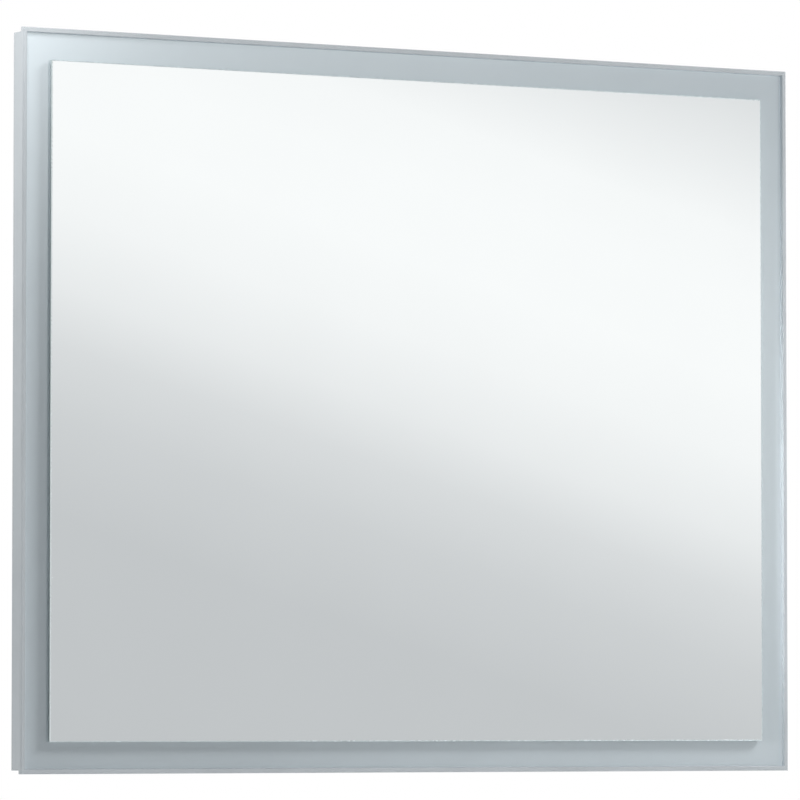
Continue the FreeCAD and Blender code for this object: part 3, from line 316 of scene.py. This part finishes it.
def rubber(name, colour):
    """Rubber with a fine texture and a little dust."""
    surface = Surface(name)
    texture = surface.noise(scale=1500, detail=3.0)
    dust = surface.noise(scale=90, detail=6.0)
    surface.colour(surface.tint(dust, colour, tuple(channel + DUST for channel in colour)))
    surface.roughness(dust, low=0.62, high=0.85)
    return surface.bump(texture, depth=0.00004).material


def satin_acrylic():
    """The light border: satin sheet that spreads the light, cool grey while the lamps are off."""
    surface = Surface("satin_acrylic", metallic=SATIN_METALLIC)
    grain = surface.noise(scale=2600, detail=2.0)
    clouds = surface.noise(scale=5, detail=3.0)
    surface.colour(surface.tint(clouds, SATIN_DARK, SATIN_LIGHT))
    surface.roughness(grain, low=0.05, high=0.08).warp(SATIN_TILT, SATIN_TWIST)
    return surface.bump(grain, depth=0.000002).material


def silver():
    """The silvered glass seen from the front."""
    surface = Surface("silvered_glass", metallic=1.0)
    film = surface.noise(scale=9, detail=6.0)
    surface.colour(surface.tint(film, SILVER_DARK, SILVER_LIGHT))
    return surface.roughness(film, low=0.0, high=0.012).material


def glass_edge(name, colour, low, high, silvered):
    """Ground or polished glass edge, with the share of it in which the silver shows."""
    surface = Surface(name, metallic=silvered, IOR=GLASS_INDEX, Coat_Weight=0.6, Coat_Roughness=0.08)
    grind = surface.noise(scale=800, detail=3.0)
    clouds = surface.noise(scale=40, detail=3.0)
    surface.colour(surface.tint(clouds, *shades(colour, spread=0.03)))
    surface.roughness(grind, low, high)
    return surface.bump(grind, depth=0.00001).material


def backing_paint():
    """The protective paint behind the silver."""
    surface = Surface("mirror_backing")
    stipple = surface.noise(scale=500, detail=4.0)
    clouds = surface.noise(scale=20, detail=4.0)
    surface.colour(surface.tint(clouds, PAINT_DARK, PAINT_LIGHT))
    surface.roughness(stipple, low=0.4, high=0.6)
    return surface.bump(stipple, depth=0.00003).material


def zinc_sheet(name, colour):
    """Galvanised sheet: spangle in patches of slightly different tone and gloss."""
    surface = Surface(name, metallic=1.0)
    spangle = surface.cells(scale=130, output="Color")
    split = surface.add("ShaderNodeSeparateColor")
    surface.links.new(spangle, split.inputs["Color"])
    surface.colour(surface.tint(split.outputs["Red"], *shades(colour, spread=0.04)))
    surface.roughness(split.outputs["Green"], low=0.38, high=0.5)
    scratches = surface.noise(scale=420, detail=3.0, stretch=(1, 1, 0.05))
    surface.bump(split.outputs["Blue"], depth=0.00001)
    return surface.bump(scratches, depth=0.00001).material


def enamel(name, colour):
    """Powder coat with orange peel."""
    surface = Surface(name, Coat_Weight=0.15)
    peel = surface.noise(scale=650, detail=2.0)
    clouds = surface.noise(scale=12, detail=4.0)
    surface.colour(surface.tint(clouds, *shades(colour, spread=0.02)))
    surface.roughness(peel, low=0.32, high=0.42)
    return surface.bump(peel, depth=0.00004).material


def foam(name, colour):
    """Foam with small pores."""
    surface = Surface(name)
    pores = surface.cells(scale=1800)
    surface.colour(surface.tint(pores, *shades(colour, spread=0.08)))
    surface.roughness(pores, low=0.75, high=0.95)
    return surface.bump(pores, depth=0.0001).material


def circuit_board(name, mask, track):
    """Solder mask over tracks that run along the board."""
    surface = Surface(name, Coat_Weight=0.3)
    tracks = surface.cells(scale=300, stretch=(0.25, 1, 1))
    surface.colour(surface.tint(tracks, track, mask))
    surface.roughness(tracks, low=0.3, high=0.42)
    return surface.bump(tracks, depth=0.00003).material


def striped_lead():
    """Earth insulation in green with a yellow stripe."""
    surface = Surface("lead_green_yellow")
    wave = surface.add("ShaderNodeTexWave", bands_direction="DIAGONAL")
    wave.inputs["Scale"].default_value = 60
    surface.links.new(surface.place(), wave.inputs["Vector"])
    green, yellow = (0.06, 0.3, 0.07), (0.8, 0.66, 0.06)
    surface.colour(surface.tint(wave.outputs["Fac"], green, yellow))
    grain = surface.noise(scale=900, detail=3.0)
    surface.roughness(grain, low=0.38, high=0.5)
    return surface.bump(grain, depth=0.00002).material


def phosphor():
    """The yellow lens of a light-emitting chip in its white housing."""
    surface = Surface("chip_phosphor", Coat_Weight=0.5)
    dots = surface.noise(scale=1200, detail=2.0)
    amber, cream = (0.86, 0.7, 0.2), (0.93, 0.86, 0.5)
    surface.colour(surface.tint(dots, amber, cream))
    surface.roughness(dots, low=0.2, high=0.3)
    return surface.bump(dots, depth=0.00002).material


def build_materials():
    """One finished material for each slot of the record but the frame's."""
    return {
        "satin_acrylic": satin_acrylic(),
        "silvered_glass": silver(),
        "white_enamel": enamel("white_enamel", (0.86, 0.86, 0.85)),
        "zinc_plate": zinc_sheet("zinc_plate", (0.62, 0.64, 0.65)),
        "screw_steel": metal("screw_steel", (0.56, 0.57, 0.58), roughness=0.3),
        "bracket_steel": metal("bracket_steel", (0.6, 0.61, 0.62), roughness=0.36, grain=180),
        "black_rubber": rubber("black_rubber", (0.022, 0.022, 0.023)),
        "driver_shell": plastic("driver_shell", (0.82, 0.82, 0.8), roughness=0.5),
        "green_board": circuit_board("green_board", mask=(0.03, 0.16, 0.07), track=(0.06, 0.28, 0.12)),
        "white_board": circuit_board("white_board", mask=(0.84, 0.84, 0.82), track=(0.74, 0.74, 0.7)),
        "ferrite": plastic("ferrite", (0.045, 0.045, 0.05), roughness=0.6, grain=400, depth=0.00006),
        "capacitor_sleeve": plastic("capacitor_sleeve", (0.02, 0.025, 0.05), roughness=0.3),
        "terminal_plastic": plastic("terminal_plastic", (0.66, 0.66, 0.63), roughness=0.42),
        "brass": metal("brass", (0.78, 0.6, 0.28), roughness=0.28),
        "tinned_copper": metal("tinned_copper", (0.7, 0.69, 0.66), roughness=0.3),
        "lead_brown": plastic("lead_brown", (0.09, 0.03, 0.012), roughness=0.4),
        "lead_blue": plastic("lead_blue", (0.02, 0.09, 0.36), roughness=0.4),
        "lead_green_yellow": striped_lead(),
        "lead_white": plastic("lead_white", (0.8, 0.8, 0.78), roughness=0.42),
        "clip_nylon": plastic("clip_nylon", (0.72, 0.72, 0.69), roughness=0.38),
        "cast_zinc": metal("cast_zinc", (0.47, 0.48, 0.5), roughness=0.5, grain=500),
        "chip_phosphor": phosphor(),
        "film_grey": plastic("film_grey", (0.17, 0.18, 0.19), roughness=0.35, grain=200, depth=0.00002),
        "foam_tape": foam("foam_tape", (0.72, 0.72, 0.7)),
    }


# ---------------------------------------------------------------- pieces

def add_piece(name, mesh, *nodes):
    """Links a mesh that stands for some CAD nodes and moves with the mirror."""
    piece = bpy.data.objects.new(name, mesh)
    bpy.context.scene.collection.objects.link(piece)
    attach(piece, "root")
    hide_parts(*nodes)
    return piece


def finished_mesh(name, builder):
    """A mesh from a bmesh, with its normals outwards."""
    bmesh.ops.recalc_face_normals(builder, faces=builder.faces)
    mesh = bpy.data.meshes.new(name)
    builder.to_mesh(mesh)
    builder.free()
    return mesh


def bridged(builder, rings, closed_ends=True):
    """Quads between rings of vertices, as one list of faces for each pair, and the two end caps."""
    bands = []
    for near, far in zip(rings, rings[1:]):
        count = len(near)
        bands.append([
            builder.faces.new((near[i], near[(i + 1) % count], far[(i + 1) % count], far[i]))
            for i in range(count)
        ])
    caps = [builder.faces.new(rings[0]), builder.faces.new(rings[-1])] if closed_ends else []
    return bands, caps


def mirror_glass(materials):
    """The pane with a silvered face, polished arrises, ground edges and painted back."""
    low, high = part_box("mirror_pane")
    builder = bmesh.new()
    rings = []
    for inset, y in ((ARRIS, low.y), (0, low.y + ARRIS), (0, high.y - ARRIS), (ARRIS, high.y)):
        left, right = low.x + inset, high.x - inset
        foot, head = low.z + inset, high.z - inset
        corners = ((left, foot), (right, foot), (right, head), (left, head))
        rings.append([builder.verts.new((x, y, z)) for x, z in corners])
    bands, caps = bridged(builder, rings)
    for band, slot in zip([caps[:1], bands[0], bands[1], bands[2], caps[1:]], (0, 1, 2, 1, 3)):
        for face in band:
            face.material_index = slot
    piece = add_piece("mirror_glass", finished_mesh("mirror_glass", builder), "mirror_pane")
    arris = glass_edge("polished_arris", POLISHED_GLASS, low=0.24, high=0.3, silvered=0.9)
    ground = glass_edge("ground_edge", GROUND_GLASS, low=0.35, high=0.5, silvered=0.3)
    for material in (materials["silvered_glass"], arris, ground, backing_paint()):
        piece.data.materials.append(material)


def islands(node):
    """The separate solids of a node, each as its lowest and highest corner."""
    mesh = frame["nodes"][node].data
    builder = bmesh.new()
    builder.from_mesh(mesh)
    bmesh.ops.remove_doubles(builder, verts=builder.verts, dist=WELD)
    left = set(builder.verts)
    boxes = []
    while left:
        front = [left.pop()]
        found = list(front)
        while front:
            vertex = front.pop()
            for edge in vertex.link_edges:
                other = edge.other_vert(vertex)
                if other in left:
                    left.discard(other)
                    front.append(other)
                    found.append(other)
        spans = [[vertex.co[axis] for vertex in found] for axis in range(3)]
        low, high = (Vector([end(span) for span in spans]) for end in (min, max))
        boxes.append((low, high))
    builder.free()
    return boxes


def lathe(builder, centre, profile, segments=TURNED_SEGMENTS, bored=False):
    """A body turned about Y from radii and Y values: solid, or bored with a profile that closes."""
    turns = [math.tau * step / segments for step in range(segments)]
    rings = [
        [builder.verts.new((centre.x + r * math.cos(t), y, centre.z + r * math.sin(t))) for t in turns]
        for r, y in profile
    ]
    if bored:
        bridged(builder, rings + rings[:1], closed_ends=False)
    else:
        bridged(builder, rings)


def dome(radius, low, high, flat):
    """A domed profile that falls from the full radius at low to the flat's radius at high."""
    turns = [index / DOME_RINGS * math.pi / 2 for index in range(DOME_RINGS + 1)]
    return [
        (flat + (radius - flat) * math.cos(turn), low + (high - low) * math.sin(turn))
        for turn in turns
    ]


def screw_heads(name, node, materials):
    """Pan heads with a cross recess in place of a node's plain screws."""
    builder = bmesh.new()
    recesses = bmesh.new()
    for low, high in islands(node):
        centre = (low + high) / 2
        radius = (high.x - low.x) / 2
        seat = high.y - SCREW_HEAD
        profile = [(SCREW_SHANK * SCREW_POINT, low.y), (SCREW_SHANK, low.y + SCREW_SHANK)]
        profile += [(SCREW_SHANK, seat), (radius, seat)]
        profile += dome(radius, seat + SCREW_HEAD * SCREW_RIM, high.y, radius * SCREW_FLAT)
        lathe(builder, centre, profile)
        cross_recess(recesses, centre, radius, high.y)
    body = bpy.data.objects.new("cut_" + name, finished_mesh("cut_" + name, recesses))
    piece = add_piece(name, finished_mesh(name, builder), node)
    carve(piece, body)
    piece.data.materials.append(materials["screw_steel"])
    shade_smooth(piece)


def cross_recess(builder, centre, radius, top):
    """A tapered cross to cut into a screw head that ends at this height."""
    depth = radius * RECESS_DEPTH
    arm = radius * RECESS_REACH
    half = radius * RECESS_WIDTH / 2
    outline = []
    for quarter in range(4):
        turn = quarter * math.pi / 2
        for along, across in ((half, half), (arm, half), (arm, -half)):
            outline.append((along * math.cos(turn) + across * math.sin(turn),
                            along * math.sin(turn) - across * math.cos(turn)))
    rings = [
        [builder.verts.new((centre.x + x * shrink, y, centre.z + z * shrink)) for x, z in outline]
        for shrink, y in (
            (1.0, top + radius),
            (1.0, top - depth * RECESS_STRAIGHT),
            (RECESS_FLOOR, top - depth),
        )
    ]
    bridged(builder, rings)


def carve(piece, tool):
    """Cuts the tool out of the piece and keeps the result."""
    bpy.context.scene.collection.objects.link(tool)
    modifier = piece.modifiers.new("recess", "BOOLEAN")
    modifier.object = tool
    modifier.operation = "DIFFERENCE"
    modifier.solver = "EXACT"
    graph = bpy.context.evaluated_depsgraph_get()
    mesh = bpy.data.meshes.new_from_object(piece.evaluated_get(graph))
    piece.modifiers.clear()
    piece.data = mesh
    bpy.data.objects.remove(tool)


def shade_smooth(piece):
    """Smooth shading that keeps the sharp edges."""
    piece.data.shade_smooth()
    piece.data.set_sharp_from_angle(angle=SHARP_ANGLE)


def rivet_heads(materials):
    """Domed blind rivets in place of the plain ones."""
    builder = bmesh.new()
    for low, high in islands("hanger_rivets"):
        centre = (low + high) / 2
        radius = (high.x - low.x) / 2
        near, far = low.y + RIVET_HEAD, high.y - RIVET_HEAD
        profile = [(radius * RIVET_TAIL_FLAT, low.y), (radius, low.y + RIVET_HEAD * RIVET_TAIL_SLOPE)]
        profile += [(radius, near), (RIVET_SHANK, near), (RIVET_SHANK, far), (radius, far)]
        profile += dome(radius, far + RIVET_HEAD * RIVET_RIM, high.y, radius * RIVET_FLAT)
        lathe(builder, centre, profile)
    turned_piece("hanger_rivet_heads", builder, "hanger_rivets", "screw_steel", materials)


def turned_piece(name, builder, node, slot, materials):
    """Finishes a turned piece in place of a node."""
    piece = add_piece(name, finished_mesh(name, builder), node)
    piece.data.materials.append(materials[slot])
    shade_smooth(piece)


def rubber_pads(materials):
    """Wall pads with a rounded rim."""
    builder = bmesh.new()
    for low, high in islands("wall_pads"):
        radius = (high.x - low.x) / 2
        rim = dome(radius, high.y - RUBBER_ROUND, high.y, radius - RUBBER_ROUND)
        lathe(builder, (low + high) / 2, [(radius, low.y), *rim], RUBBER_SEGMENTS)
    turned_piece("rubber_pads", builder, "wall_pads", "black_rubber", materials)


def rubber_grommet(materials):
    """The cable grommet with a rounded flange and a bevelled bore."""
    low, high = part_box("cable_grommet")
    flange = (high.x - low.x) / 2
    front, rear = low.y + GROMMET_FRONT, high.y - GROMMET_REAR
    profile = [(GROMMET_BORE, low.y), (flange, low.y), (flange, front), (GROMMET_NECK, front)]
    profile += [(GROMMET_NECK, rear), (flange, rear)]
    profile += dome(flange, high.y - RUBBER_ROUND, high.y, flange - RUBBER_ROUND)
    profile += [(GROMMET_BORE + RUBBER_ROUND / 2, high.y), (GROMMET_BORE, high.y - RUBBER_ROUND / 2)]
    builder = bmesh.new()
    lathe(builder, (low + high) / 2, profile, RUBBER_SEGMENTS, bored=True)
    turned_piece("rubber_grommet", builder, "cable_grommet", "black_rubber", materials)


def dress_nodes(materials):
    """Gives every CAD node the material of its slot, with the frame's grain along each bar."""
    along_x = brushed_aluminium("frame_aluminium_x", (ALUMINIUM_GRAIN, 1, 1))
    along_z = brushed_aluminium("frame_aluminium_z", (1, 1, ALUMINIUM_GRAIN))
    bars = dict(zip(FRAME_BARS, (along_x, along_z, along_x, along_z)))
    slots = {part["node"]: part["material_slot"] for part in frame["record"]["subparts"]}
    for node, item in frame["nodes"].items():
        material = bars.get(node) or materials[slots[node]]
        if not item.data.materials:
            item.data.materials.append(material)
        for slot in item.material_slots:
            slot.link = "OBJECT"
            slot.material = material


# ---------------------------------------------------------------- studio

def reflected(vector):
    """A direction as the mirror turns it back."""
    return Vector((vector.x, -vector.y, vector.z))


def band_axis():
    """The direction in which the reflected band changes, square to its edge in the picture."""
    turn = Euler((math.pi / 2 + CAMERA_PITCH, 0, -CAMERA_YAW))
    right, up = Vector((1, 0, 0)), Vector((0, 1, 0))
    right.rotate(turn)
    up.rotate(turn)
    return (reflected(up) + reflected(right) * BAND_SLOPE).normalized()


def band_colour(nodes, links):
    """The colour of the reflected studio wall by direction."""
    along = nodes.new("ShaderNodeVectorMath")
    along.operation = "DOT_PRODUCT"
    along.inputs[1].default_value = band_axis()
    links.new(nodes.new("ShaderNodeTexCoord").outputs["Generated"], along.inputs[0])
    first, last = (BAND_CENTRE + math.radians(BAND_TONES[end][0]) for end in (0, -1))
    fold = nodes.new("ShaderNodeMath")
    fold.operation = "WRAP"
    fold.inputs[1].default_value = last
    fold.inputs[2].default_value = first
    links.new(along.outputs["Value"], fold.inputs[0])
    spread = nodes.new("ShaderNodeMapRange")
    spread.inputs["From Min"].default_value = first
    spread.inputs["From Max"].default_value = last
    links.new(fold.outputs["Value"], spread.inputs["Value"])
    ramp = nodes.new("ShaderNodeValToRGB")
    elements = ramp.color_ramp.elements
    while len(elements) < len(BAND_TONES):
        elements.new(0.5)
    for element, (angle, tone) in zip(elements, BAND_TONES):
        element.position = (BAND_CENTRE + math.radians(angle) - first) / (last - first)
        element.color = (*(tint * tone ** fade for tint, fade in zip(BAND_TINT, BAND_FADE)), 1.0)
    links.new(spread.outputs["Result"], ramp.inputs["Fac"])
    return ramp.outputs["Color"]


def studio_world():
    """White to the eye, a soft slanting band in reflections and an even light on matt surfaces."""
    world = bpy.data.worlds.new("studio")
    bpy.context.scene.world = world
    world.use_nodes = True
    nodes, links = world.node_tree.nodes, world.node_tree.links
    nodes.clear()
    path = nodes.new("ShaderNodeLightPath")
    shader = background(nodes, (AMBIENT, AMBIENT, AMBIENT))
    wall = background(nodes, WHITE)
    links.new(band_colour(nodes, links), wall.inputs["Color"])
    white = background(nodes, WHITE)
    seen = {"Is Glossy Ray": wall, "Is Transmission Ray": wall, "Is Camera Ray": white}
    for ray, other in seen.items():
        mix = nodes.new("ShaderNodeMixShader")
        links.new(path.outputs[ray], mix.inputs["Fac"])
        links.new(shader.outputs[0], mix.inputs[1])
        links.new(other.outputs[0], mix.inputs[2])
        shader = mix
    links.new(shader.outputs[0], nodes.new("ShaderNodeOutputWorld").inputs["Surface"])


def background(nodes, colour):
    """A world shader of one colour, at a strength of 1."""
    node = nodes.new("ShaderNodeBackground")
    node.inputs["Color"].default_value = (*colour, 1.0)
    return node


def soft_light(name, place, size, power, target, mirrored=False):
    """A square lamp that looks at a point, and that shows in reflections if it is mirrored."""
    data = bpy.data.lights.new(name, "AREA")
    data.size = size
    data.energy = power
    lamp = bpy.data.objects.new(name, data)
    lamp.location = place
    lamp.rotation_euler = (target - place).to_track_quat("-Z", "Y").to_euler()
    lamp.visible_camera = False
    lamp.visible_glossy = mirrored
    bpy.context.scene.collection.objects.link(lamp)
    return lamp


def pass_lip(lamp):
    """Keeps the frame's thin lip from holding back a lamp's light."""
    bars = bpy.data.collections.new(lamp.name + "_passes")
    for bar in FRAME_BARS:
        bars.objects.link(frame["nodes"][bar])
    lamp.light_linking.blocker_collection = bars
    for entry in bars.collection_objects:
        entry.light_linking.link_state = "EXCLUDE"


def studio_lamps(low, high):
    """The key, and small lamps for the left side, the right lip and the top left corner."""
    centre = (low + high) / 2
    pass_lip(soft_light("key", KEY_PLACE, KEY_SIZE, KEY_POWER, centre, mirrored=True))
    soft_light("side", SIDE_PLACE, SIDE_SIZE, SIDE_POWER, centre, mirrored=True)
    lip = soft_light("lip", LIP_PLACE, LIP_SIZE, LIP_POWER, Vector((high.x, low.y, LIP_PLACE.z)))
    lip.data.shape = "RECTANGLE"
    lip.data.size_y = LIP_HEIGHT
    lip.data.spread = LIP_SPREAD
    soft_light("corner", CORNER_PLACE, CORNER_SIZE, CORNER_POWER, Vector((low.x, low.y, high.z)))


def floor(height):
    """A plain pale floor that keeps the object's shadow; the glass shows the studio wall instead."""
    builder = bmesh.new()
    half = FLOOR_WIDTH / 2
    corners = ((-half, -half), (half, -half), (half, half), (-half, half))
    builder.faces.new([builder.verts.new((x, y, height)) for x, y in corners])
    item = bpy.data.objects.new("floor", finished_mesh("floor", builder))
    item.visible_glossy = False
    bpy.context.scene.collection.objects.link(item)
    surface = Surface("floor")
    speckle = surface.noise(scale=30, detail=4.0)
    surface.colour(surface.tint(speckle, *((tone, tone, tone) for tone in FLOOR_TONES)))
    surface.roughness(speckle, low=0.8, high=0.9)
    surface.shader.inputs["Emission Color"].default_value = (*WHITE, 1.0)
    seen = surface.add("ShaderNodeLightPath").outputs["Is Camera Ray"]
    glow = surface.between(seen, low=0, high=FLOOR_GLOW, start=0, end=1)
    surface.links.new(glow, surface.shader.inputs["Emission Strength"])
    item.data.materials.append(surface.material)


def camera():
    """The camera at the photograph's viewing angle."""
    data = bpy.data.cameras.new("camera")
    data.lens = CAMERA_LENS
    data.sensor_width = CAMERA_SENSOR
    data.clip_end = CAMERA_REACH
    item = bpy.data.objects.new("camera", data)
    item.location = CAMERA_PLACE
    item.rotation_euler = Euler((math.pi / 2 + CAMERA_PITCH, 0, -CAMERA_YAW))
    bpy.context.scene.collection.objects.link(item)
    bpy.context.scene.camera = item


materials = build_materials()
dress_nodes(materials)
mirror_glass(materials)
screw_heads("panel_screw_heads", "panel_screws", materials)
screw_heads("chassis_screw_heads", "chassis_screws", materials)
rivet_heads(materials)
rubber_pads(materials)
rubber_grommet(materials)

low, high = (Vector(corner) for corner in cad_box)
floor(low.z - FLOOR_DROP)
studio_world()
studio_lamps(low, high)
camera()
bpy.context.scene.view_settings.view_transform = "Standard"
